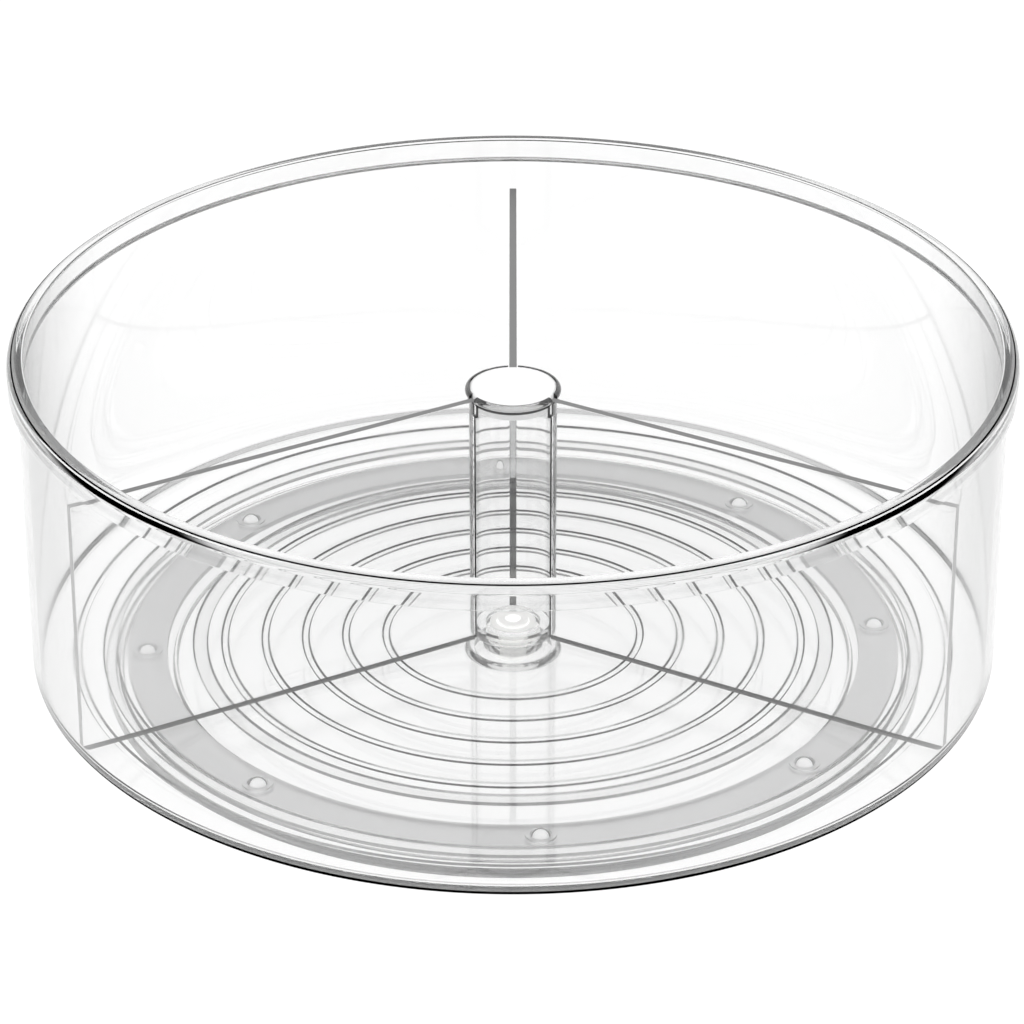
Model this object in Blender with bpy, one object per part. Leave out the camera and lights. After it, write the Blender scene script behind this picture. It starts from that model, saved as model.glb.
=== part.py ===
"""Clear divided turntable bin: a round tray that spins on a ball race over a flat base plate.

Metres, +Z up. The origin is the centre of the base plate's underside. The tray, the ball cage and the
pivot all turn about Z. The three dividers drop into notches in the hollow centre post.
"""

import math

import bmesh
import bpy
from mathutils import Matrix, Vector

MM = 0.001
GAP = 0.3 * MM

# Driving dimensions
RIM_R = 145.0 * MM
TOTAL_H = 106.6 * MM
WALL_R = 142.4 * MM
WALL_T = 2.2 * MM
FLOOR_Z = 8.4 * MM
FLOOR_T = 2.2 * MM
POST_R = 13.2 * MM
POST_WALL = 1.5 * MM
POST_TOP = 90.8 * MM
DIVIDER_T = 2.2 * MM
BASE_R = 121.4 * MM
BASE_T = 2.4 * MM
BALL_CIRCLE_R = 109.0 * MM
PIN_R = 4.6 * MM

# Tray
FLOOR_TOP = FLOOR_Z + FLOOR_T
WALL_IN_R = WALL_R - WALL_T
LIP_FOOT_Z = TOTAL_H - 7.2 * MM
LIP_STEP_H = 1.8 * MM
LIP_SHOULDER_R = 3.0 * MM
LIP_EDGE_R = 0.6 * MM
GROOVE_IN_R = 128.2 * MM
GROOVE_OUT_R = 130.5 * MM
GROOVE_DEPTH = 0.6 * MM
CORNER_R = 2.2 * MM
FOOT_R = 2.8 * MM
RIB_FIRST_R = 38.2 * MM
RIB_PITCH = 11.95 * MM
RIB_COUNT = 5
RIB_W = 2.4 * MM
RIB_DEPTH = 1.0 * MM
RAIL_W = 4.6 * MM
RAIL_DEPTH = 1.4 * MM
RAIL_MIDDLES = (93.3 * MM, 119.8 * MM)
BORE_R = PIN_R + 0.12 * MM
BOSS_R = POST_R - POST_WALL - GAP
BOSS_IN_R = 8.1 * MM
BOSS_TOP = FLOOR_TOP + 3.0 * MM

# Centre post, its notches and its cap
POST_IN_R = POST_R - POST_WALL
POST_LIP_R = POST_R + 0.75 * MM
POST_LIP_H = 2.4 * MM
NOTCH_DEPTH = 6.6 * MM
NOTCH_W = DIVIDER_T + 2 * GAP
CAP_PLUG_R = POST_IN_R - GAP
CAP_T = 1.6 * MM
CAP_SKIRT_H = 5.0 * MM
CAP_SKIRT_W = 1.5 * MM
CAP_SINK = 0.25 * MM
SEAT_R = 12.7 * MM
SEAT_DEPTH = CAP_SINK + CAP_T + GAP
CAP_R = SEAT_R - GAP

# Dividers
DIVIDER_ANGLES = (90, 210, 330)
DIVIDER_IN_R = POST_R + GAP
DIVIDER_OUT_R = WALL_IN_R - 0.5 * MM
DIVIDER_TOP = POST_TOP - 1.2 * MM
TAB_IN_R = CAP_R + 0.4 * MM

# Base plate
BASE_EDGE_H = 3.6 * MM
BASE_EDGE_W = 2.8 * MM
RECESS_R = 11.5 * MM
RECESS_DEPTH = 2.0 * MM
HUB_R = 14.5 * MM
HUB_H = 4.2 * MM
SPIGOT_R = 8.1 * MM
SPIGOT_TOP = 6.7 * MM
GUIDE_W = 1.6 * MM
GUIDE_H = 3.6 * MM
GUIDE_MIDDLES = (100.8 * MM, 116.9 * MM)

# Ball race
BALL_COUNT = 8
BALL_PHASE = 4.0
RACE_MID_Z = (BASE_T + FLOOR_Z) / 2
BALL_R = (FLOOR_Z - BASE_T) / 2 - GAP
CAGE_W = 11.8 * MM
CAGE_T = 1.6 * MM
SOCKET_RIM_R = 4.4 * MM
SOCKET_RIM_H = 2.8 * MM
SOCKET_R = BALL_R + GAP

# Pivot
PIN_FLANGE_R = 6.8 * MM
PIN_TOP = 14.2 * MM
PIN_SOCKET_R = 2.2 * MM
PIN_SOCKET_DEPTH = 5.0 * MM
COLLAR_R = 6.9 * MM
COLLAR_T = 2.4 * MM
WASHER_R = 7.9 * MM

SEGMENTS_LARGE = 60
SEGMENTS_POST = 36
SEGMENTS_SMALL = 24


def clear_scene():
    """Remove every object that the file already holds."""
    for obj in list(bpy.data.objects):
        bpy.data.objects.remove(obj, do_unlink=True)


def plastic(name, colour, roughness, alpha=1.0, metallic=0.0):
    """A Principled material; alpha under 1 marks clear or milky plastic."""
    material = bpy.data.materials.new(name)
    material.use_nodes = True
    shader = material.node_tree.nodes["Principled BSDF"]
    shader.inputs["Base Color"].default_value = (*colour, 1.0)
    shader.inputs["Roughness"].default_value = roughness
    shader.inputs["Metallic"].default_value = metallic
    shader.inputs["Alpha"].default_value = alpha
    return material


def arc(centre, radius, start, end, steps):
    """Points of an arc in the (r, z) plane, from start to end degrees."""
    points = []
    for step in range(steps + 1):
        angle = math.radians(start + (end - start) * step / steps)
        points.append((centre[0] + radius * math.cos(angle), centre[1] + radius * math.sin(angle)))
    return points


def add_object(name, mesh, material, location=(0, 0, 0)):
    """Link a mesh to the scene under its node's name."""
    mesh.materials.append(material)
    obj = bpy.data.objects.new(name, mesh)
    obj.location = location
    bpy.context.scene.collection.objects.link(obj)
    return obj


def finish_mesh(bm, name, smooth_angle=30.0):
    """Weld, face outwards, and shade round faces smooth."""
    bmesh.ops.remove_doubles(bm, verts=bm.verts, dist=1e-7)
    bmesh.ops.dissolve_degenerate(bm, edges=bm.edges, dist=1e-8)
    bmesh.ops.recalc_face_normals(bm, faces=bm.faces)
    mesh = bpy.data.meshes.new(name)
    bm.to_mesh(mesh)
    bm.free()
    mesh.shade_smooth()
    mesh.set_sharp_from_angle(angle=math.radians(smooth_angle))
    return mesh


def turned_mesh(name, outline, segments):
    """Spin an (r, z) outline about Z; an outline that meets the axis is left open there."""
    bm = bmesh.new()
    verts = [bm.verts.new((r, 0.0, z)) for r, z in outline]
    edges = [bm.edges.new(pair) for pair in zip(verts, verts[1:])]
    meets_axis = outline[0][0] == 0.0 and outline[-1][0] == 0.0
    if not meets_axis:
        edges.append(bm.edges.new((verts[-1], verts[0])))
    bmesh.ops.spin(
        bm,
        geom=verts + edges,
        cent=(0, 0, 0),
        axis=(0, 0, 1),
        angle=math.tau,
        steps=segments,
        use_merge=True,
    )
    return finish_mesh(bm, name)


def polar(radius, degrees, z=0.0):
    """A point at a radius and an angle about Z."""
    angle = math.radians(degrees)
    return Vector((radius * math.cos(angle), radius * math.sin(angle), z))


def cut(obj, cutter_mesh, operation="DIFFERENCE"):
    """Boolean with a hidden cutter that stays in the file."""
    cutter = bpy.data.objects.new(f"{obj.name}_{operation.lower()}_tool", cutter_mesh)
    cutter.hide_render = True
    cutter.display_type = "WIRE"
    bpy.context.scene.collection.objects.link(cutter)
    modifier = obj.modifiers.new(operation.title(), "BOOLEAN")
    modifier.operation = operation
    modifier.solver = "EXACT"
    modifier.object = cutter
    return modifier


def ridge(middle, width, root_z, tip_z, slope=0.3 * MM):
    """Outline points of a ring-shaped ridge or groove, from its inner to its outer foot."""
    half = width / 2
    return [
        (middle - half, root_z),
        (middle - half + slope, tip_z),
        (middle + half - slope, tip_z),
        (middle + half, root_z),
    ]


def tray_outline():
    """Floor, ribs and rails below it, wall, thick lip, floor groove and the boss for the post."""
    outline = [(BORE_R, FLOOR_Z)]
    for index in range(RIB_COUNT):
        outline += ridge(RIB_FIRST_R + index * RIB_PITCH, RIB_W, FLOOR_Z, FLOOR_Z - RIB_DEPTH)
    for middle in RAIL_MIDDLES:
        outline += ridge(middle, RAIL_W, FLOOR_Z, FLOOR_Z - RAIL_DEPTH)
    outline += arc((WALL_R - FOOT_R, FLOOR_Z + FOOT_R), FOOT_R, -90, 0, 4)
    outline += s_curve(WALL_R, LIP_FOOT_Z - LIP_STEP_H, RIM_R, LIP_FOOT_Z)
    shoulder_centre = (RIM_R - LIP_SHOULDER_R, TOTAL_H - LIP_SHOULDER_R)
    outline += arc(shoulder_centre, LIP_SHOULDER_R, 0, 90, 6)
    outline += arc((WALL_IN_R + LIP_EDGE_R, TOTAL_H - LIP_EDGE_R), LIP_EDGE_R, 90, 180, 2)
    outline += arc((WALL_IN_R - CORNER_R, FLOOR_TOP + CORNER_R), CORNER_R, 0, -90, 4)
    groove_middle = (GROOVE_IN_R + GROOVE_OUT_R) / 2
    groove_w = GROOVE_OUT_R - GROOVE_IN_R
    outline += reversed(ridge(groove_middle, groove_w, FLOOR_TOP, FLOOR_TOP - GROOVE_DEPTH))
    outline += [(BOSS_R, FLOOR_TOP), (BOSS_R, BOSS_TOP - 0.6 * MM), (BOSS_R - 0.6 * MM, BOSS_TOP)]
    outline += [(BOSS_IN_R, BOSS_TOP), (BOSS_IN_R, FLOOR_TOP), (BORE_R, FLOOR_TOP)]
    return outline


def s_curve(r_low, z_low, r_high, z_high, steps=5):
    """A smooth step in radius between two heights."""
    points = []
    for step in range(steps + 1):
        t = step / steps
        ease = t * t * (3 - 2 * t)
        points.append((r_low + (r_high - r_low) * ease, z_low + (z_high - z_low) * t))
    return points


def make_tray(material):
    return add_object("tray", turned_mesh("tray", tray_outline(), SEGMENTS_LARGE), material)


def notch_cutters():
    """Three upright blocks that open the post's wall from its top edge down."""
    bm = bmesh.new()
    reach = POST_WALL + 4 * MM
    height = NOTCH_DEPTH + 2 * MM
    for degrees in DIVIDER_ANGLES:
        middle = polar(POST_R, degrees, POST_TOP - NOTCH_DEPTH + height / 2)
        place = Matrix.Translation(middle) @ Matrix.Rotation(math.radians(degrees), 4, "Z")
        size = Matrix.Diagonal((reach, NOTCH_W, height, 1.0))
        bmesh.ops.create_cube(bm, size=1.0, matrix=place @ size)
    mesh = bpy.data.meshes.new("post_notches")
    bm.to_mesh(mesh)
    bm.free()
    return mesh


def make_post(material):
    """A thin tube with a rounded lip and a seat for the cap, notched at its top for the dividers."""
    foot = FLOOR_TOP + GAP
    lip_centre = (POST_LIP_R - POST_LIP_H / 2, POST_TOP - POST_LIP_H / 2)
    outline = [(POST_IN_R, foot), (POST_R, foot), (POST_R, POST_TOP - POST_LIP_H - 0.5 * MM)]
    outline += arc(lip_centre, POST_LIP_H / 2, -45, 90, 5)
    seat = POST_TOP - SEAT_DEPTH
    outline += [(SEAT_R, POST_TOP), (SEAT_R, seat), (POST_IN_R, seat)]
    post = add_object("center_post", turned_mesh("center_post", outline, SEGMENTS_POST), material)
    cut(post, notch_cutters())
    return post


def make_cap(material):
    """A flat disc in the post's seat, with a plug skirt below it."""
    top = POST_TOP - CAP_SINK
    edge = 0.3 * MM
    skirt_in_r = CAP_PLUG_R - CAP_SKIRT_W
    outline = [(0.0, top - CAP_T), (skirt_in_r, top - CAP_T), (skirt_in_r, top - CAP_SKIRT_H)]
    outline += [(CAP_PLUG_R, top - CAP_SKIRT_H), (CAP_PLUG_R, top - CAP_T), (CAP_R, top - CAP_T)]
    outline += [(CAP_R, top - edge), (CAP_R - edge, top), (0.0, top)]
    return add_object("post_cap", turned_mesh("post_cap", outline, SEGMENTS_POST), material)


def divider_mesh():
    """A flat panel along +X with a tab at its top inner corner and a rounded lower outer corner."""
    foot = FLOOR_TOP + GAP
    tab_foot = POST_TOP - NOTCH_DEPTH + GAP
    outline = [(DIVIDER_IN_R, foot), (DIVIDER_OUT_R - CORNER_R, foot)]
    outline += arc((DIVIDER_OUT_R - CORNER_R, foot + CORNER_R), CORNER_R, -75, 0, 4)
    outline += [(DIVIDER_OUT_R, DIVIDER_TOP), (TAB_IN_R, DIVIDER_TOP)]
    outline += [(TAB_IN_R, tab_foot), (DIVIDER_IN_R, tab_foot)]
    bm = bmesh.new()
    verts = [bm.verts.new((r, -DIVIDER_T / 2, z)) for r, z in outline]
    face = bm.faces.new(verts)
    extruded = bmesh.ops.extrude_face_region(bm, geom=[face])
    moved = [item for item in extruded["geom"] if isinstance(item, bmesh.types.BMVert)]
    bmesh.ops.translate(bm, verts=moved, vec=(0, DIVIDER_T, 0))
    return finish_mesh(bm, "divider")


def make_dividers(material):
    """Three copies of one panel, turned about the post's axis."""
    mesh = divider_mesh()
    for number, degrees in enumerate(DIVIDER_ANGLES, start=1):
        panel = add_object(f"divider_{number}", mesh.copy(), material)
        panel.rotation_euler.z = math.radians(degrees)


def base_outline():
    """Flat plate with a hub, a spigot for the washer, cage guides and a raised outer edge."""
    edge = 0.6 * MM
    outline = [(BORE_R, RECESS_DEPTH), (RECESS_R, RECESS_DEPTH), (RECESS_R, 0.0)]
    outline += [(BASE_R - edge, 0.0), (BASE_R, edge), (BASE_R, BASE_EDGE_H)]
    outline += [(BASE_R - BASE_EDGE_W, BASE_EDGE_H), (BASE_R - BASE_EDGE_W - 0.4 * MM, BASE_T)]
    for middle in reversed(GUIDE_MIDDLES):
        outline += reversed(ridge(middle, GUIDE_W, BASE_T, GUIDE_H))
    outline += [(HUB_R, BASE_T), (HUB_R - 1.8 * MM, HUB_H), (SPIGOT_R + 0.8 * MM, HUB_H)]
    outline += [(SPIGOT_R, SPIGOT_TOP), (BORE_R, SPIGOT_TOP)]
    return outline


def make_base(material):
    return add_object("base_plate", turned_mesh("base_plate", base_outline(), SEGMENTS_LARGE), material)


def race_rods(radius, height, name):
    """Upright cylinders, one on each ball's place."""
    bm = bmesh.new()
    for index in range(BALL_COUNT):
        centre = polar(BALL_CIRCLE_R, BALL_PHASE + index * 360 / BALL_COUNT, RACE_MID_Z)
        bmesh.ops.create_cone(
            bm,
            cap_ends=True,
            segments=16,
            radius1=radius,
            radius2=radius,
            depth=height,
            matrix=Matrix.Translation(centre),
        )
    mesh = bpy.data.meshes.new(name)
    bm.to_mesh(mesh)
    bm.free()
    return mesh


def make_cage(material):
    """A flat ring with a rimmed round socket for each ball."""
    inner = BALL_CIRCLE_R - CAGE_W / 2
    outer = BALL_CIRCLE_R + CAGE_W / 2
    low = RACE_MID_Z - CAGE_T / 2
    high = RACE_MID_Z + CAGE_T / 2
    outline = [(inner, low), (outer, low), (outer, high), (inner, high)]
    cage = add_object("ball_cage", turned_mesh("ball_cage", outline, SEGMENTS_LARGE), material)
    cut(cage, race_rods(SOCKET_RIM_R, SOCKET_RIM_H, "socket_rims"), "UNION")
    cut(cage, race_rods(SOCKET_R, 3 * SOCKET_RIM_H, "socket_holes"), "DIFFERENCE")
    return cage


def make_balls(material):
    """Each ball's origin is its centre and its poles lie on its own rolling axis."""
    for index in range(BALL_COUNT):
        degrees = BALL_PHASE + index * 360 / BALL_COUNT
        bm = bmesh.new()
        poles_along_x = Matrix.Rotation(math.pi / 2, 4, "Y")
        bmesh.ops.create_uvsphere(
            bm, u_segments=12, v_segments=8, radius=BALL_R, matrix=poles_along_x
        )
        mesh = finish_mesh(bm, f"ball_{index + 1}", 80.0)
        ball = add_object(mesh.name, mesh, material, polar(BALL_CIRCLE_R, degrees, RACE_MID_Z))
        ball.rotation_euler.z = math.radians(degrees)


def make_pin(material):
    """A flanged pivot pin with a blind socket in its top end."""
    flange_top = RECESS_DEPTH - GAP
    chamfer = 0.5 * MM
    outline = [(0.0, GAP), (PIN_FLANGE_R - chamfer, GAP), (PIN_FLANGE_R, GAP + chamfer)]
    outline += [(PIN_FLANGE_R, flange_top), (PIN_R, flange_top), (PIN_R, PIN_TOP - chamfer)]
    outline += [(PIN_R - chamfer, PIN_TOP), (PIN_SOCKET_R, PIN_TOP)]
    outline += [(PIN_SOCKET_R, PIN_TOP - PIN_SOCKET_DEPTH), (0.0, PIN_TOP - PIN_SOCKET_DEPTH)]
    return add_object("pivot_pin", turned_mesh("pivot_pin", outline, SEGMENTS_SMALL), material)


def make_collar(material):
    """A grooved collar on the pin that holds the tray down."""
    low = FLOOR_TOP + GAP
    high = low + COLLAR_T
    groove = low + COLLAR_T / 2
    edge = 0.4 * MM
    outline = [(BORE_R, low), (COLLAR_R - edge, low), (COLLAR_R, low + edge)]
    outline += [(COLLAR_R, groove - edge), (COLLAR_R - edge, groove), (COLLAR_R, groove + edge)]
    outline += [(COLLAR_R, high - edge), (COLLAR_R - edge, high), (BORE_R, high)]
    return add_object("pivot_collar", turned_mesh("pivot_collar", outline, SEGMENTS_SMALL), material)


def make_washer(material):
    """A plain washer between the base plate's spigot and the tray's underside."""
    low = SPIGOT_TOP + GAP
    high = FLOOR_Z - GAP
    outline = [(BORE_R, low), (WASHER_R, low), (WASHER_R, high), (BORE_R, high)]
    return add_object("thrust_washer", turned_mesh("thrust_washer", outline, SEGMENTS_SMALL), material)


def main():
    clear_scene()
    clear = plastic("clear_plastic", (0.95, 0.97, 0.97), 0.05, alpha=0.3)
    milky = plastic("milky_plastic", (0.90, 0.90, 0.89), 0.35, alpha=0.85)
    cage_grey = plastic("cage_plastic", (0.78, 0.78, 0.78), 0.4, alpha=0.7)
    ball_white = plastic("ball_material", (0.88, 0.88, 0.88), 0.15)
    make_tray(clear)
    make_post(clear)
    make_cap(clear)
    make_dividers(clear)
    make_base(clear)
    make_cage(cage_grey)
    make_balls(ball_white)
    make_pin(milky)
    make_collar(milky)
    make_washer(milky)


main()
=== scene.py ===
"""Looks of the clear divided turntable bin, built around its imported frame.

Metres, +Z up, in the CAD's own frame. Each CAD node is replaced by a finer piece of the same size,
turned or extruded from rounded outlines, and every piece has a procedural plastic.
"""

import math

import bmesh
import bpy
from mathutils import Matrix, Vector


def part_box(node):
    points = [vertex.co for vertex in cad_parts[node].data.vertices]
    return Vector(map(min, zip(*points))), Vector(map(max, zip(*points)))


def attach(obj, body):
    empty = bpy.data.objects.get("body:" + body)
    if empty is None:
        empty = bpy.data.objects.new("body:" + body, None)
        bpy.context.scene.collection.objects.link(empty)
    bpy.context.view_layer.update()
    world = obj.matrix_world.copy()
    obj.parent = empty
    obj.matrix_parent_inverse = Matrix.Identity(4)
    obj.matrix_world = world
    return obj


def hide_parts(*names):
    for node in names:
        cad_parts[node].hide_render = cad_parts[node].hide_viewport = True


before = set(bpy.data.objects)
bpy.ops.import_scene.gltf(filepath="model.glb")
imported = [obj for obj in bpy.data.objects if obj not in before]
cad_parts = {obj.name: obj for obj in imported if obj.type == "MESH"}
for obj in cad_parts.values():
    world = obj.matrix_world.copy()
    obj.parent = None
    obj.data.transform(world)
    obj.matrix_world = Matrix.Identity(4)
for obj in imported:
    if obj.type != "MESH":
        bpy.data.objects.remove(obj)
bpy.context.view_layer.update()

MM = 0.001
GAP = 0.3 * MM

TRAY_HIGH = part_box("tray")[1]
POST_LOW, POST_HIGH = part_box("center_post")
BASE_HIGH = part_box("base_plate")[1]
CAGE_LOW, CAGE_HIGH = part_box("ball_cage")
PIN_LOW, PIN_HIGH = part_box("pivot_pin")
COLLAR_LOW, COLLAR_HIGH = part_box("pivot_collar")
WASHER_LOW, WASHER_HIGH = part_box("thrust_washer")

# Tray
RIM_R = TRAY_HIGH.x
RIM_TOP = TRAY_HIGH.z
FLOOR_Z = 8.4 * MM
FLOOR_T = 2.2 * MM
FLOOR_TOP = FLOOR_Z + FLOOR_T
WALL_R = 142.4 * MM
WALL_T = 2.2 * MM
WALL_IN_R = WALL_R - WALL_T
LIP_FOOT_Z = RIM_TOP - 7.2 * MM
LIP_STEP_H = 1.8 * MM
LIP_SHOULDER_R = 3.0 * MM
LIP_EDGE_R = 0.6 * MM
GROOVE_IN_R = 128.2 * MM
GROOVE_OUT_R = 130.5 * MM
GROOVE_DEPTH = 0.6 * MM
CORNER_R = 2.2 * MM
FOOT_R = 2.8 * MM
RIB_FIRST_R = 38.2 * MM
RIB_PITCH = 11.95 * MM
RIB_COUNT = 5
RIB_W = 2.4 * MM
RIB_DEPTH = 1.0 * MM
RAIL_MIDDLES = (93.3 * MM, 119.8 * MM)
RAIL_W = 4.6 * MM
RAIL_DEPTH = 1.4 * MM
FLANK_W = 0.5 * MM
PIN_R = 4.6 * MM
BORE_GAP = 0.12 * MM
BORE_R = PIN_R + BORE_GAP

# Centre post and cap
POST_R = 13.2 * MM
POST_WALL = 1.5 * MM
POST_IN_R = POST_R - POST_WALL
POST_TOP = POST_HIGH.z
POST_LIP_R = POST_R + 0.75 * MM
POST_LIP_H = 2.4 * MM
POST_NECK_H = 0.5 * MM
POST_FOOT_EDGE = 0.3 * MM
NOTCH_DEPTH = 6.6 * MM
NOTCH_CUT_MARGIN = 2 * MM
BOSS_R = POST_IN_R - GAP
BOSS_IN_R = 8.1 * MM
BOSS_TOP = FLOOR_TOP + 3.0 * MM
BOSS_EDGE = 0.6 * MM
CAP_PLUG_R = BOSS_R
CAP_T = 1.6 * MM
CAP_SKIRT_W = 1.5 * MM
SEAT_R = 12.7 * MM
SEAT_DEPTH = 1.85 * MM + GAP
SEAT_LINE_H = 0.4 * MM
CAP_R = SEAT_R - GAP
CAP_EDGE = 0.3 * MM

# Dividers
DIVIDER_T = 2.2 * MM
DIVIDER_ANGLES = (90, 210, 330)
DIVIDER_STRIP_H = 0.8 * MM
DIVIDER_BEVEL = 0.15 * MM
NOTCH_W = DIVIDER_T + 2 * GAP
DIVIDER_IN_R = POST_R + GAP
TAB_IN_R = CAP_R + 0.4 * MM

# Base plate and race
BASE_R = BASE_HIGH.x
BASE_T = 2.4 * MM
BASE_EDGE_H = 3.6 * MM
BASE_EDGE_W = 2.8 * MM
BASE_EDGE_R = 0.6 * MM
RECESS_R = 11.5 * MM
RECESS_DEPTH = 2.0 * MM
HUB_R = 14.5 * MM
HUB_H = 4.2 * MM
HUB_SLOPE_W = 1.8 * MM
SPIGOT_R = 8.1 * MM
SPIGOT_SLOPE_W = 0.8 * MM
SPIGOT_TOP = BASE_HIGH.z
GUIDE_MIDDLES = (100.8 * MM, 116.9 * MM)
GUIDE_W = 1.6 * MM
GUIDE_H = 3.6 * MM
BALL_COUNT = 8
BALL_CIRCLE_R = 109.0 * MM
BALL_PHASE = 4.0
CAGE_W = 11.8 * MM
CAGE_T = 1.6 * MM
CAGE_EDGE_R = 0.3 * MM
SOCKET_RIM_R = 4.4 * MM

# Pivot
PIN_FLANGE_R = 6.8 * MM
PIN_SOCKET_R = 2.2 * MM
PIN_SOCKET_DEPTH = 5.0 * MM
PIN_EDGE_R = 0.35 * MM
COLLAR_GROOVE = 0.4 * MM
COLLAR_EDGE_R = 0.3 * MM
WASHER_EDGE_R = 0.15 * MM

# Meshes
# These tones are painted shade carried on each turned face.
TONES = ("ink", "edge", "bead")
SAME_POINT = 0.001 * MM
WELD = 0.1 * SAME_POINT
SMOOTH_ANGLE = 35.0
SEGMENTS_LARGE = 288
SEGMENTS_POST = 144
SEGMENTS_SMALL = 96

# Looks
CLEAR_IOR = 1.49
# The next two values set the painted shade of clear surfaces towards grazing view: where the dark edge
# starts and how dark the faint darkening gets.
DARK_ABOVE = 1.0
GRAZING_SHADE = 0.35
# Light frosted grey, and the dark grey painted on frosted faces as painted shade.
FROST_LIGHT = (0.95, 0.95, 0.95, 1.0)
FROST_PAINTED_SHADE = (0.3, 0.3, 0.3, 1.0)
WHITE = (1.0, 1.0, 1.0, 1.0)
BLACK = (0.0, 0.0, 0.0, 1.0)

# Studio and camera
FLOOR_HALF = 6.0
FLOOR_DROP = 0.2 * MM
ZENITH = (0.85, 0.85, 0.85, 1.0)
CAMERA_ELEVATION = math.radians(28.71)
CAMERA_DISTANCE = 1.283
CAMERA_TARGET = Vector((-0.0003, 0.0, 0.0491))
CAMERA_LENS = 153.7


class Outline:
    """Points in the (r, z) plane. Each stretch has its tones, all painted shade in place of the dark
    lines that refraction draws through clear plastic: a grey to black darkening laid flat on the
    surface; how early the surface is painted dark towards grazing view; and a painted dark band on the
    thick round lip."""

    def __init__(self):
        self.points = []
        self.tones = []

    def add(self, points, ink=0.0, edge=0.0, bead=0.0):
        for point in points:
            if self.points and (Vector(point) - Vector(self.points[-1])).length < SAME_POINT:
                continue
            self.points.append(tuple(point))
            self.tones.append((ink, edge, bead))
        return self


def arc(centre, radius, start, end, steps=6):
    """Points of an arc in the (r, z) plane, from start to end degrees."""
    points = []
    for step in range(steps + 1):
        angle = math.radians(start + (end - start) * step / steps)
        points.append((centre[0] + radius * math.cos(angle), centre[1] + radius * math.sin(angle)))
    return points


def s_curve(start, end, steps=8, along_r=False):
    """A smooth step between two (r, z) points; along_r keeps the run even in radius."""
    points = []
    for step in range(steps + 1):
        t = step / steps
        ease = t * t * (3 - 2 * t)
        across, along = (t, ease) if along_r else (ease, t)
        points.append((start[0] + (end[0] - start[0]) * across, start[1] + (end[1] - start[1]) * along))
    return points


def ridge(middle, width, root_z, tip_z):
    """A ring-shaped ridge's inner flank, the end of its tip, and its outer flank."""
    half = width / 2
    rise = s_curve((middle - half, root_z), (middle - half + FLANK_W, tip_z), 6, True)
    fall = s_curve((middle + half - FLANK_W, tip_z), (middle + half, root_z), 6, True)
    return rise, fall[:1], fall


def softened(corners, radius, steps=3):
    """The outline through these corners, with each one rounded by about the radius."""
    points = []
    count = len(corners)
    for index, corner in enumerate(corners):
        here = Vector(corner)
        before = Vector(corners[index - 1]) - here
        after = Vector(corners[(index + 1) % count]) - here
        if here.x == 0.0:
            points.append(tuple(here))
            continue
        reach = min(radius, before.length * 0.45, after.length * 0.45)
        start = here + before.normalized() * reach
        end = here + after.normalized() * reach
        for step in range(steps + 1):
            t = step / steps
            point = start * (1 - t) ** 2 + here * 2 * t * (1 - t) + end * t * t
            points.append(tuple(point))
    return points


def clean_mesh(bm, name, smooth_angle=SMOOTH_ANGLE):
    """Weld, face outwards, and shade round faces smooth."""
    bmesh.ops.remove_doubles(bm, verts=bm.verts, dist=WELD)
    bmesh.ops.dissolve_degenerate(bm, edges=bm.edges, dist=0.1 * WELD)
    bmesh.ops.recalc_face_normals(bm, faces=bm.faces)
    mesh = bpy.data.meshes.new(name)
    bm.to_mesh(mesh)
    bm.free()
    mesh.shade_smooth()
    mesh.set_sharp_from_angle(angle=math.radians(smooth_angle))
    return mesh


def turned_mesh(name, outline, segments):
    """Turn an outline about Z into one closed skin whose faces carry its tones."""
    bm = bmesh.new()
    layers = [bm.faces.layers.float.new(tone) for tone in TONES]
    rings = []
    for r, z in outline.points:
        if r == 0.0:
            rings.append([bm.verts.new((0.0, 0.0, z))] * segments)
        else:
            places = (polar(r, step * 360 / segments, z) for step in range(segments))
            rings.append([bm.verts.new(place) for place in places])
    closed = outline.points[0][0] > 0.0
    for index in range(0 if closed else 1, len(rings)):
        low, high = rings[index - 1], rings[index]
        for step in range(segments):
            corners = (low[step - 1], low[step], high[step], high[step - 1])
            face = bm.faces.new(dict.fromkeys(corners))
            for layer, amount in zip(layers, outline.tones[index]):
                face[layer] = amount
    return clean_mesh(bm, name)


def polar(radius, degrees, z=0.0):
    """A point at a radius and an angle about Z."""
    angle = math.radians(degrees)
    return Vector((radius * math.cos(angle), radius * math.sin(angle), z))


def add_piece(name, mesh, material, body, node):
    """Link a finished mesh, which rides on its body and stands for its CAD node."""
    mesh.materials.append(material)
    piece = bpy.data.objects.new(name, mesh)
    bpy.context.scene.collection.objects.link(piece)
    level = piece.modifiers.new("Level", "WEIGHTED_NORMAL")
    level.keep_sharp = True
    level.weight = 100
    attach(piece, body)
    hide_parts(node)
    return piece


def carved_mesh(mesh, steps):
    """Apply Boolean steps, each a tool mesh and its operation, and return the result."""
    body = bpy.data.objects.new("carving", mesh)
    bpy.context.scene.collection.objects.link(body)
    tools = []
    for tool_mesh, operation in steps:
        tool = bpy.data.objects.new("carving_tool", tool_mesh)
        bpy.context.scene.collection.objects.link(tool)
        modifier = body.modifiers.new(operation, "BOOLEAN")
        modifier.operation = operation
        modifier.solver = "EXACT"
        modifier.object = tool
        tools.append(tool)
    bpy.context.view_layer.update()
    evaluated = body.evaluated_get(bpy.context.evaluated_depsgraph_get())
    carved = bpy.data.meshes.new_from_object(evaluated)
    carved.name = mesh.name
    for used in [body, *tools]:
        bpy.data.objects.remove(used, do_unlink=True)
    carved.shade_smooth()
    carved.set_sharp_from_angle(angle=math.radians(SMOOTH_ANGLE))
    return carved


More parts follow.
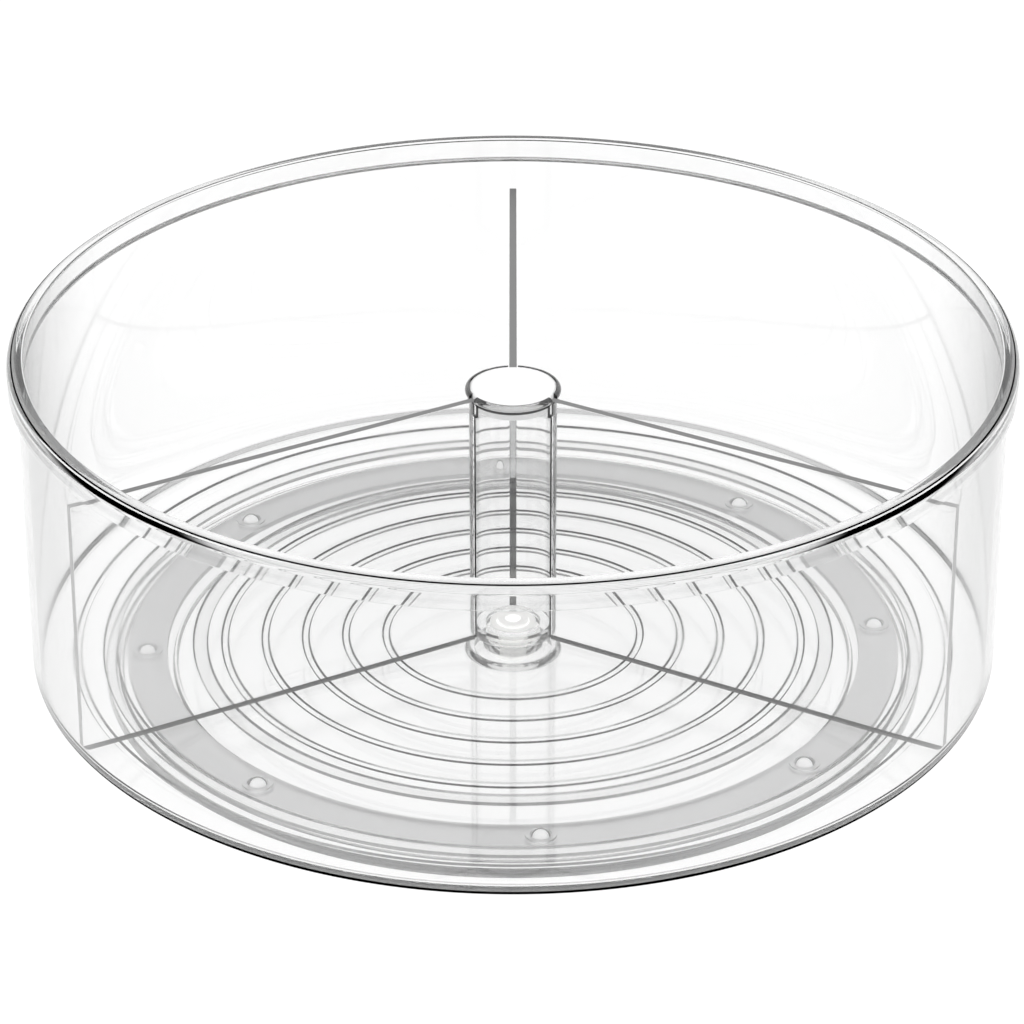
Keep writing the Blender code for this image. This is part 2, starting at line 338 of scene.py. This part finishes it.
def add_floor_underside(outline):
    """The ribs, then the rails that run on the balls, from the middle outwards. Their flanks carry
    painted shade, darkest on the outer flanks, in place of the dark lines that refraction draws there.
    """
    for index in range(RIB_COUNT):
        middle = RIB_FIRST_R + index * RIB_PITCH
        inner_flank, tip, outer_flank = ridge(middle, RIB_W, FLOOR_Z, FLOOR_Z - RIB_DEPTH)
        outline.add(inner_flank[:1]).add(inner_flank, ink=0.2)
        outline.add(tip).add(outer_flank, ink=1.0)
    for middle in RAIL_MIDDLES:
        inner_flank, tip, outer_flank = ridge(middle, RAIL_W, FLOOR_Z, FLOOR_Z - RAIL_DEPTH)
        outline.add(inner_flank[:1]).add(inner_flank, ink=0.3)
        outline.add(tip, ink=0.08).add(outer_flank, ink=0.6)


def add_foot(outline):
    """The rounded corner between the floor's underside and the wall, with painted shade on its lower
    side that darkens towards grazing view.
    """
    centre = (WALL_R - FOOT_R, FLOOR_Z + FOOT_R)
    outline.add([(centre[0], FLOOR_Z)])
    outline.add(arc(centre, FOOT_R, -90, -66, 4), ink=0.1)
    outline.add(arc(centre, FOOT_R, -66, -12, 9), ink=0.35, edge=0.96)
    outline.add(arc(centre, FOOT_R, -12, 0, 2), ink=0.1)


def add_lip(outline):
    """The wall's outer step, the lip's round shoulder with its bands of painted shade, and its inner
    edge.
    """
    step_foot = (WALL_R, LIP_FOOT_Z - LIP_STEP_H)
    outline.add([step_foot])
    outline.add(s_curve(step_foot, (RIM_R, LIP_FOOT_Z), 12))
    shoulder = (RIM_R - LIP_SHOULDER_R, RIM_TOP - LIP_SHOULDER_R)
    outline.add([(RIM_R, shoulder[1])])
    outline.add(arc(shoulder, LIP_SHOULDER_R, 0, 16, 4))
    outline.add(arc(shoulder, LIP_SHOULDER_R, 16, 44, 7), bead=1.0)
    outline.add(arc(shoulder, LIP_SHOULDER_R, 44, 53, 3))
    outline.add(arc(shoulder, LIP_SHOULDER_R, 53, 63, 4), ink=1.0)
    outline.add(arc(shoulder, LIP_SHOULDER_R, 63, 70, 3), ink=0.4)
    outline.add(arc(shoulder, LIP_SHOULDER_R, 70, 80, 3), ink=0.2)
    outline.add(arc(shoulder, LIP_SHOULDER_R, 80, 90, 3), ink=0.06)
    inner_edge = (WALL_IN_R + LIP_EDGE_R, RIM_TOP - LIP_EDGE_R)
    outline.add(arc(inner_edge, LIP_EDGE_R, 90, 180, 6))
    outline.add([(WALL_IN_R, LIP_FOOT_Z)], ink=0.04)


def add_inside(outline):
    """The inner wall, the corner, the floor's top with its ring groove, and the post's boss. The
    groove's flanks carry painted shade, and the boss's edge is painted dark towards grazing view.
    """
    corner = (WALL_IN_R - CORNER_R, FLOOR_TOP + CORNER_R)
    outline.add([(WALL_IN_R, corner[1])], ink=0.02)
    outline.add(arc(corner, CORNER_R, 0, -90, 10))
    groove_w = GROOVE_OUT_R - GROOVE_IN_R
    middle = GROOVE_IN_R + groove_w / 2
    inner_flank, _, outer_flank = ridge(middle, groove_w, FLOOR_TOP, FLOOR_TOP - GROOVE_DEPTH)
    outline.add(outer_flank[-1:]).add(reversed(outer_flank), ink=0.7)
    outline.add(inner_flank[-1:]).add(reversed(inner_flank), ink=0.3)
    outline.add([(BOSS_R, FLOOR_TOP), (BOSS_R, BOSS_TOP - BOSS_EDGE)])
    outline.add([(BOSS_R - BOSS_EDGE, BOSS_TOP)], edge=0.6)
    outline.add([(BOSS_IN_R, BOSS_TOP), (BOSS_IN_R, FLOOR_TOP), (BORE_R, FLOOR_TOP)])


def tray_outline():
    """Once round the tray's section, from the bottom of the pivot's bore."""
    outline = Outline().add([(BORE_R, FLOOR_Z)])
    add_floor_underside(outline)
    add_foot(outline)
    add_lip(outline)
    add_inside(outline)
    outline.add([(BORE_R, FLOOR_Z)])
    return outline


def build_tray(material):
    """The bin itself, turned in one piece."""
    mesh = turned_mesh("tray_skin", tray_outline(), SEGMENTS_LARGE)
    return add_piece("tray_bin", mesh, material, "tray", "tray")


def notch_tool():
    """Three upright blocks that open the post's wall from its top edge down."""
    bm = bmesh.new()
    reach = POST_WALL + 2 * NOTCH_CUT_MARGIN
    height = NOTCH_DEPTH + NOTCH_CUT_MARGIN
    for degrees in DIVIDER_ANGLES:
        middle = polar(POST_R, degrees, POST_TOP - NOTCH_DEPTH + height / 2)
        place = Matrix.Translation(middle) @ Matrix.Rotation(math.radians(degrees), 4, "Z")
        size = Matrix.Diagonal((reach, NOTCH_W, height, 1.0))
        bmesh.ops.create_cube(bm, size=1.0, matrix=place @ size)
    mesh = bpy.data.meshes.new("notches")
    bm.to_mesh(mesh)
    bm.free()
    return mesh


def build_post(material):
    """A thin tube with a rounded lip, notched at its top for the dividers. Painted shade lies on its
    foot edge, under its lip and on the seat's top line, and its inner wall is painted dark towards
    grazing view.
    """
    foot = POST_LOW.z
    lip_centre = (POST_LIP_R - POST_LIP_H / 2, POST_TOP - POST_LIP_H / 2)
    outline = Outline().add([(POST_IN_R, foot), (POST_R - POST_FOOT_EDGE, foot)])
    outline.add([(POST_R, foot + POST_FOOT_EDGE)], ink=0.25)
    outline.add([(POST_R, POST_TOP - POST_LIP_H - POST_NECK_H)])
    outline.add(arc(lip_centre, POST_LIP_H / 2, -45, -30, 2), ink=0.9)
    outline.add(arc(lip_centre, POST_LIP_H / 2, -30, 5, 4), ink=0.12)
    outline.add(arc(lip_centre, POST_LIP_H / 2, 5, 90, 10))
    seat = POST_TOP - SEAT_DEPTH
    outline.add([(SEAT_R, POST_TOP)])
    outline.add([(SEAT_R, POST_TOP - SEAT_LINE_H)], ink=0.9)
    outline.add([(SEAT_R, seat)], ink=0.05)
    outline.add([(POST_IN_R, seat)])
    outline.add([(POST_IN_R, foot)], edge=0.83)
    mesh = turned_mesh("post_skin", outline, SEGMENTS_POST)
    mesh = carved_mesh(mesh, [(notch_tool(), "DIFFERENCE")])
    return add_piece("post_tube", mesh, material, "tray", "center_post")


def build_cap(material):
    """A flat disc with a plug skirt that closes the post."""
    low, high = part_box("post_cap")
    under = high.z - CAP_T
    skirt_in_r = CAP_PLUG_R - CAP_SKIRT_W
    outline = Outline().add([(0.0, under)])
    outline.add([(skirt_in_r, under), (skirt_in_r, low.z), (CAP_PLUG_R, low.z)])
    outline.add([(CAP_PLUG_R, under), (CAP_R, under), (CAP_R, high.z - CAP_EDGE)])
    outline.add([(CAP_R - CAP_EDGE, high.z), (0.0, high.z)])
    mesh = turned_mesh("cap_skin", outline, SEGMENTS_POST)
    return add_piece("post_cap_disc", mesh, material, "tray", "post_cap")


def divider_mesh(foot, top, outer):
    """A flat panel along +X with a tab at its top inner corner and softened edges."""
    tab_foot = POST_TOP - NOTCH_DEPTH + GAP
    outline = [(DIVIDER_IN_R, foot), (outer - CORNER_R, foot)]
    outline += arc((outer - CORNER_R, foot + CORNER_R), CORNER_R, -80, 0, 8)
    outline += [(outer, top), (TAB_IN_R, top), (TAB_IN_R, tab_foot), (DIVIDER_IN_R, tab_foot)]
    bm = bmesh.new()
    verts = [bm.verts.new((r, -DIVIDER_T / 2, z)) for r, z in outline]
    face = bm.faces.new(verts)
    extruded = bmesh.ops.extrude_face_region(bm, geom=[face])
    moved = [item for item in extruded["geom"] if isinstance(item, bmesh.types.BMVert)]
    bmesh.ops.translate(bm, verts=moved, vec=(0, DIVIDER_T, 0))
    bmesh.ops.recalc_face_normals(bm, faces=bm.faces)
    everything = bm.verts[:] + bm.edges[:] + bm.faces[:]
    strip_top = foot + DIVIDER_STRIP_H
    bmesh.ops.bisect_plane(bm, geom=everything, plane_co=(0, 0, strip_top), plane_no=(0, 0, 1))
    # Faces facing up or down and a strip low on each side are frosted and painted dark grey as painted
    # shade; the outer end is lightly frosted.
    frost_and_shade_layer = bm.faces.layers.float.new("frost_and_painted_shade")
    for panel_face in bm.faces:
        if abs(panel_face.normal.z) > 0.5 or panel_face.calc_center_median().z < strip_top:
            panel_face[frost_and_shade_layer] = 1.0
        elif panel_face.normal.x > 0.5:
            panel_face[frost_and_shade_layer] = 0.12
    sharp = [edge for edge in bm.edges if edge.calc_face_angle(0.0) > math.radians(60)]
    bmesh.ops.bevel(bm, geom=sharp, offset=DIVIDER_BEVEL, segments=2, affect="EDGES", profile=0.5)
    return clean_mesh(bm, "divider_skin", 20.0)


def build_dividers(material):
    """Three copies of one panel, turned about the post's axis."""
    low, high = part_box("divider_1")
    mesh = divider_mesh(low.z, high.z, high.y)
    for number, degrees in enumerate(DIVIDER_ANGLES, start=1):
        copy = mesh.copy()
        copy.transform(Matrix.Rotation(math.radians(degrees), 4, "Z"))
        name = f"divider_{number}"
        add_piece(f"divider_panel_{number}", copy, material, name, name)


def base_outline():
    """Flat plate with a hub, a spigot for the washer, cage guides and a raised outer edge. Light
    painted shade lies on its edge, guide flanks, hub slope and spigot.
    """
    outline = Outline().add([(BORE_R, RECESS_DEPTH), (RECESS_R, RECESS_DEPTH), (RECESS_R, 0.0)])
    edge_r = BASE_R - BASE_EDGE_R
    outline.add([(edge_r, 0.0)])
    outline.add(arc((edge_r, BASE_EDGE_R), BASE_EDGE_R, -90, 0, 6), ink=0.05)
    outline.add([(BASE_R, BASE_EDGE_H - BASE_EDGE_R)])
    outline.add(arc((edge_r, BASE_EDGE_H - BASE_EDGE_R), BASE_EDGE_R, 0, 90, 6), ink=0.15)
    edge_foot = (BASE_R - BASE_EDGE_W - FLANK_W, BASE_T)
    outline.add([(BASE_R - BASE_EDGE_W, BASE_EDGE_H)])
    outline.add(s_curve((BASE_R - BASE_EDGE_W, BASE_EDGE_H), edge_foot, 6, True), ink=0.2)
    for middle in reversed(GUIDE_MIDDLES):
        inner_flank, tip, outer_flank = ridge(middle, GUIDE_W, BASE_T, GUIDE_H)
        outline.add(outer_flank[-1:]).add(reversed(outer_flank), ink=0.3)
        outline.add(inner_flank[-1:]).add(reversed(inner_flank), ink=0.2)
    hub_foot = (HUB_R, BASE_T)
    outline.add([hub_foot])
    outline.add(s_curve(hub_foot, (HUB_R - HUB_SLOPE_W, HUB_H), 8, True), ink=0.15)
    outline.add([(SPIGOT_R + SPIGOT_SLOPE_W, HUB_H)])
    outline.add([(SPIGOT_R, SPIGOT_TOP)], ink=0.15)
    outline.add([(BORE_R, SPIGOT_TOP), (BORE_R, RECESS_DEPTH)])
    return outline


def build_base(material):
    """The plate that the whole turntable stands on."""
    mesh = turned_mesh("base_skin", base_outline(), SEGMENTS_LARGE)
    return add_piece("base_disc", mesh, material, "base", "base_plate")


def race_rods(radius, low, high, name):
    """Upright cylinders, one on each ball's place."""
    bm = bmesh.new()
    for index in range(BALL_COUNT):
        centre = polar(BALL_CIRCLE_R, BALL_PHASE + index * 360 / BALL_COUNT, (low + high) / 2)
        bmesh.ops.create_cone(
            bm,
            cap_ends=True,
            segments=48,
            radius1=radius,
            radius2=radius,
            depth=high - low,
            matrix=Matrix.Translation(centre),
        )
    mesh = bpy.data.meshes.new(name)
    bm.to_mesh(mesh)
    bm.free()
    return mesh


def build_cage(material):
    """A flat ring with a rimmed round socket for each ball."""
    middle = (CAGE_LOW.z + CAGE_HIGH.z) / 2
    low, high = middle - CAGE_T / 2, middle + CAGE_T / 2
    inner, outer = BALL_CIRCLE_R - CAGE_W / 2, BALL_CIRCLE_R + CAGE_W / 2
    corners = [(inner, low), (outer, low), (outer, high), (inner, high)]
    mesh = turned_mesh("cage_skin", Outline().add(softened(corners, CAGE_EDGE_R)), SEGMENTS_LARGE)
    ball_low, ball_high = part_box("ball_1")
    hole = (ball_high.z - ball_low.z) / 2 + GAP
    rims = race_rods(SOCKET_RIM_R, CAGE_LOW.z, CAGE_HIGH.z, "socket_rims")
    holes = race_rods(hole, CAGE_LOW.z - MM, CAGE_HIGH.z + MM, "socket_holes")
    mesh = carved_mesh(mesh, [(rims, "UNION"), (holes, "DIFFERENCE")])
    return add_piece("cage_ring", mesh, material, "cage", "ball_cage")


def build_balls(material):
    """Eight balls, evenly spaced round the race."""
    for index in range(BALL_COUNT):
        node = f"ball_{index + 1}"
        low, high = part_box(node)
        bm = bmesh.new()
        radius = (high.z - low.z) / 2
        place = polar(BALL_CIRCLE_R, BALL_PHASE + index * 360 / BALL_COUNT, (low.z + high.z) / 2)
        bmesh.ops.create_icosphere(bm, subdivisions=4, radius=radius, matrix=Matrix.Translation(place))
        mesh = clean_mesh(bm, "ball_skin", 80.0)
        add_piece(f"race_ball_{index + 1}", mesh, material, node, node)


def build_pin(material):
    """A flanged pivot pin with a blind socket in its top end."""
    flange_top = RECESS_DEPTH - GAP
    top = PIN_HIGH.z
    corners = [(0.0, PIN_LOW.z), (PIN_FLANGE_R, PIN_LOW.z), (PIN_FLANGE_R, flange_top)]
    corners += [(PIN_R, flange_top), (PIN_R, top), (PIN_SOCKET_R, top)]
    corners += [(PIN_SOCKET_R, top - PIN_SOCKET_DEPTH), (0.0, top - PIN_SOCKET_DEPTH)]
    mesh = turned_mesh("pin_skin", Outline().add(softened(corners, PIN_EDGE_R)), SEGMENTS_SMALL)
    return add_piece("pin_stem", mesh, material, "base", "pivot_pin")


def build_collar(material):
    """A grooved collar on the pin that holds the tray down."""
    low, high = COLLAR_LOW.z, COLLAR_HIGH.z
    radius = COLLAR_HIGH.x
    groove = (low + high) / 2
    corners = [(BORE_R, low), (radius, low), (radius, groove - COLLAR_GROOVE)]
    corners += [(radius - COLLAR_GROOVE, groove), (radius, groove + COLLAR_GROOVE)]
    corners += [(radius, high), (BORE_R, high)]
    mesh = turned_mesh("collar_skin", Outline().add(softened(corners, COLLAR_EDGE_R)), SEGMENTS_SMALL)
    return add_piece("collar_ring", mesh, material, "base", "pivot_collar")


def build_washer(material):
    """A flat ring between the base plate's spigot and the tray."""
    low, high = WASHER_LOW.z, WASHER_HIGH.z
    corners = [(BORE_R, low), (WASHER_HIGH.x, low), (WASHER_HIGH.x, high), (BORE_R, high)]
    mesh = turned_mesh("washer_skin", Outline().add(softened(corners, WASHER_EDGE_R)), SEGMENTS_SMALL)
    return add_piece("washer_ring", mesh, material, "base", "thrust_washer")


def new_material(name):
    """A new material, its node tree and its Principled shader."""
    material = bpy.data.materials.new(name)
    material.use_nodes = True
    tree = material.node_tree
    return material, tree, tree.nodes["Principled BSDF"]


def waviness(tree, shader, scale, strength, distance):
    """A faint moulded waviness in the surface, in the object's own coordinates."""
    coordinates = tree.nodes.new("ShaderNodeTexCoord")
    noise = tree.nodes.new("ShaderNodeTexNoise")
    bump = tree.nodes.new("ShaderNodeBump")
    noise.inputs["Scale"].default_value = scale
    noise.inputs["Detail"].default_value = 2.0
    bump.inputs["Strength"].default_value = strength
    bump.inputs["Distance"].default_value = distance
    tree.links.new(coordinates.outputs["Object"], noise.inputs["Vector"])
    tree.links.new(noise.outputs["Fac"], bump.inputs["Height"])
    tree.links.new(bump.outputs["Normal"], shader.inputs["Normal"])
    return noise


def attribute(tree, name):
    """The amount of one tone on the face."""
    node = tree.nodes.new("ShaderNodeAttribute")
    node.attribute_name = name
    return node.outputs["Fac"]


def arithmetic(tree, operation, first, second, clamp=False):
    """A maths node; each of its two terms is a socket or a number."""
    node = tree.nodes.new("ShaderNodeMath")
    node.operation = operation
    node.use_clamp = clamp
    for slot, term in enumerate((first, second)):
        if isinstance(term, float):
            node.inputs[slot].default_value = term
        else:
            tree.links.new(term, node.inputs[slot])
    return node.outputs[0]


def ramp_between(tree, value, start, end, top=1.0):
    """A smooth rise from 0 at start to top at end."""
    node = tree.nodes.new("ShaderNodeMapRange")
    node.interpolation_type = "SMOOTHSTEP"
    node.inputs["From Min"].default_value = start
    node.inputs["From Max"].default_value = end
    node.inputs["To Max"].default_value = top
    tree.links.new(value, node.inputs["Value"])
    return node.outputs["Result"]


def blend_colours(tree, factor, first, second):
    """A colour mix; each of its two ends is a socket or a colour."""
    node = tree.nodes.new("ShaderNodeMix")
    node.data_type = "RGBA"
    tree.links.new(factor, node.inputs["Factor"])
    for slot, term in (("A", first), ("B", second)):
        if isinstance(term, tuple):
            node.inputs[slot].default_value = term
        else:
            tree.links.new(term, node.inputs[slot])
    return node.outputs["Result"]


def painted_darkness(tree):
    """How dark a clear surface is painted, all of it painted shade: its flat tones, its darkening
    towards grazing view, the band on the thick lip, and a faint darkening towards grazing view
    everywhere.
    """
    graze = tree.nodes.new("ShaderNodeFresnel")
    graze.inputs["IOR"].default_value = CLEAR_IOR
    facing = tree.nodes.new("ShaderNodeLayerWeight")
    facing.inputs["Blend"].default_value = 0.5
    edge_start = arithmetic(tree, "ADD", graze.outputs[0], attribute(tree, "edge"))
    edge = ramp_between(tree, edge_start, DARK_ABOVE, DARK_ABOVE + 0.03)
    grazing_shade = ramp_between(tree, facing.outputs["Facing"], 0.45, 0.95, GRAZING_SHADE)
    rise = ramp_between(tree, facing.outputs["Facing"], 0.12, 0.2)
    fall = ramp_between(tree, facing.outputs["Facing"], 0.4, 0.6)
    band = arithmetic(tree, "SUBTRACT", rise, fall, True)
    bead = arithmetic(tree, "MULTIPLY", band, attribute(tree, "bead"))
    painted_lines = arithmetic(tree, "ADD", attribute(tree, "ink"), bead)
    shades = arithmetic(tree, "ADD", edge, grazing_shade)
    return arithmetic(tree, "ADD", painted_lines, shades, True)


def clear_plastic(name, density):
    """Polished clear plastic: grey in depth, painted dark by its tones of painted shade, and frosted on
    the faces marked for it, where the darker grey is painted shade.
    """
    material, tree, shader = new_material(name)
    shader.inputs["IOR"].default_value = CLEAR_IOR
    grain = waviness(tree, shader, 40.0, 0.01, 0.0001)
    polish = ramp_between(tree, grain.outputs["Fac"], 0.3, 0.8, 0.05)
    tree.links.new(polish, shader.inputs["Roughness"])
    dark = painted_darkness(tree)
    frost_and_painted_shade = attribute(tree, "frost_and_painted_shade")
    painted_dark_blend = blend_colours(tree, dark, WHITE, BLACK)
    frost_and_shade_colour = blend_colours(tree, frost_and_painted_shade, FROST_LIGHT, FROST_PAINTED_SHADE)
    cut = ramp_between(tree, frost_and_painted_shade, 0.0, 0.35)
    colour = blend_colours(tree, cut, painted_dark_blend, frost_and_shade_colour)
    tree.links.new(colour, shader.inputs["Base Color"])
    covered = arithmetic(tree, "ADD", dark, cut, True)
    bare = arithmetic(tree, "SUBTRACT", 1.0, covered)
    tree.links.new(bare, shader.inputs["Transmission Weight"])
    tree.links.new(arithmetic(tree, "MULTIPLY", bare, 0.5), shader.inputs["Specular IOR Level"])
    absorption = tree.nodes.new("ShaderNodeVolumeAbsorption")
    absorption.inputs["Color"].default_value = (0.0, 0.03, 0.03, 1.0)
    absorption.inputs["Density"].default_value = density
    output = tree.nodes["Material Output"]
    tree.links.new(absorption.outputs["Volume"], output.inputs["Volume"])
    return material


def misty_plastic(name, tint, roughness, clarity, painted_glow):
    """Plastic that blurs what is behind it; its faint emission is painted light, glowing in place of
    the light scattered inside it.
    """
    material, tree, shader = new_material(name)
    shader.inputs["Base Color"].default_value = tint
    shader.inputs["Transmission Weight"].default_value = clarity
    shader.inputs["Emission Color"].default_value = tint
    shader.inputs["Emission Strength"].default_value = painted_glow
    grain = waviness(tree, shader, 500.0, 0.05, 0.0001)
    varied = arithmetic(tree, "MULTIPLY", grain.outputs["Fac"], 0.4 * roughness)
    satin = arithmetic(tree, "ADD", varied, 0.8 * roughness)
    tree.links.new(satin, shader.inputs["Roughness"])
    return material


def ball_plastic():
    """Pearly white, with painted shade darkening it towards its rim and painted light from its
    emission.
    """
    material, tree, shader = new_material("ball_look")
    ball_facing = tree.nodes.new("ShaderNodeLayerWeight")
    ball_facing.inputs["Blend"].default_value = 0.5
    rim = ramp_between(tree, ball_facing.outputs["Facing"], 0.3, 0.75)
    colour = blend_colours(tree, rim, WHITE, (0.02, 0.02, 0.02, 1.0))
    tree.links.new(colour, shader.inputs["Base Color"])
    # Emission in the ball's own colour is painted light, glowing though the ball is no lamp.
    tree.links.new(colour, shader.inputs["Emission Color"])
    shader.inputs["Emission Strength"].default_value = 0.5
    grain = waviness(tree, shader, 300.0, 0.05, 0.0001)
    polish = arithmetic(tree, "MULTIPLY", grain.outputs["Fac"], 0.24)
    tree.links.new(polish, shader.inputs["Roughness"])
    return material


def build_floor():
    """A wide pale floor that glows softly, as a light table does."""
    mesh = bpy.data.meshes.new("floor")
    half = FLOOR_HALF
    corners = [(-half, -half, 0.0), (half, -half, 0.0), (half, half, 0.0), (-half, half, 0.0)]
    mesh.from_pydata(corners, [], [(0, 1, 2, 3)])
    floor = bpy.data.objects.new("floor", mesh)
    floor.location.z = -FLOOR_DROP
    bpy.context.scene.collection.objects.link(floor)
    material, _, shader = new_material("floor_look")
    shader.inputs["Base Color"].default_value = (0.1, 0.1, 0.1, 1.0)
    shader.inputs["Roughness"].default_value = 1.0
    shader.inputs["Specular IOR Level"].default_value = 0.0
    shader.inputs["Emission Color"].default_value = WHITE
    shader.inputs["Emission Strength"].default_value = 1.0
    mesh.materials.append(material)


def build_world():
    """White around the horizon, darker overhead."""
    world = bpy.data.worlds.new("studio")
    bpy.context.scene.world = world
    world.use_nodes = True
    tree = world.node_tree
    background = tree.nodes["Background"]
    coordinates = tree.nodes.new("ShaderNodeTexCoord")
    split = tree.nodes.new("ShaderNodeSeparateXYZ")
    ramp = tree.nodes.new("ShaderNodeValToRGB")
    ramp.color_ramp.elements[0].position = 0.70
    ramp.color_ramp.elements[0].color = WHITE
    ramp.color_ramp.elements[1].position = 0.85
    ramp.color_ramp.elements[1].color = ZENITH
    tree.links.new(coordinates.outputs["Generated"], split.inputs["Vector"])
    tree.links.new(split.outputs["Z"], ramp.inputs["Fac"])
    tree.links.new(ramp.outputs["Color"], background.inputs["Color"])
    background.inputs["Strength"].default_value = 1.0


def build_camera():
    """A long lens in front of the bin, looking down at it."""
    data = bpy.data.cameras.new("camera")
    data.lens = CAMERA_LENS
    data.sensor_width = 36.0
    data.clip_start = 0.01
    data.clip_end = 50.0
    camera = bpy.data.objects.new("camera", data)
    back = Vector((0.0, -math.cos(CAMERA_ELEVATION), math.sin(CAMERA_ELEVATION)))
    camera.location = CAMERA_TARGET + back * CAMERA_DISTANCE
    camera.rotation_euler = (math.pi / 2 - CAMERA_ELEVATION, 0.0, 0.0)
    bpy.context.scene.collection.objects.link(camera)
    bpy.context.scene.camera = camera


def set_light_paths():
    """Enough bounces for light to cross the many clear layers."""
    scene = bpy.context.scene
    scene.view_settings.view_transform = "Standard"
    scene.cycles.max_bounces = 40
    scene.cycles.transmission_bounces = 40
    scene.cycles.glossy_bounces = 24
    scene.cycles.diffuse_bounces = 4
    scene.cycles.transparent_max_bounces = 16
    scene.cycles.use_denoising = True


def main():
    """Build every piece, then the studio."""
    clear = clear_plastic("clear_plastic_look", 7.0)
    panel = clear_plastic("divider_plastic_look", 3.0)
    # Each misty plastic's last number is the strength of its painted light, glowing though it is no
    # lamp.
    milky = misty_plastic("milky_plastic_look", (0.97, 0.97, 0.96, 1.0), 0.35, 0.2, 0.3)
    build_tray(clear)
    build_post(clear)
    build_cap(misty_plastic("cap_plastic_look", (0.98, 0.98, 0.98, 1.0), 0.15, 0.3, 0.15))
    build_dividers(panel)
    build_base(clear)
    build_cage(misty_plastic("cage_plastic_look", (0.95, 0.95, 0.95, 1.0), 0.35, 1.0, 0.0))
    build_balls(ball_plastic())
    build_pin(milky)
    build_collar(milky)
    build_washer(milky)
    build_floor()
    build_world()
    build_camera()
    set_light_paths()


main()
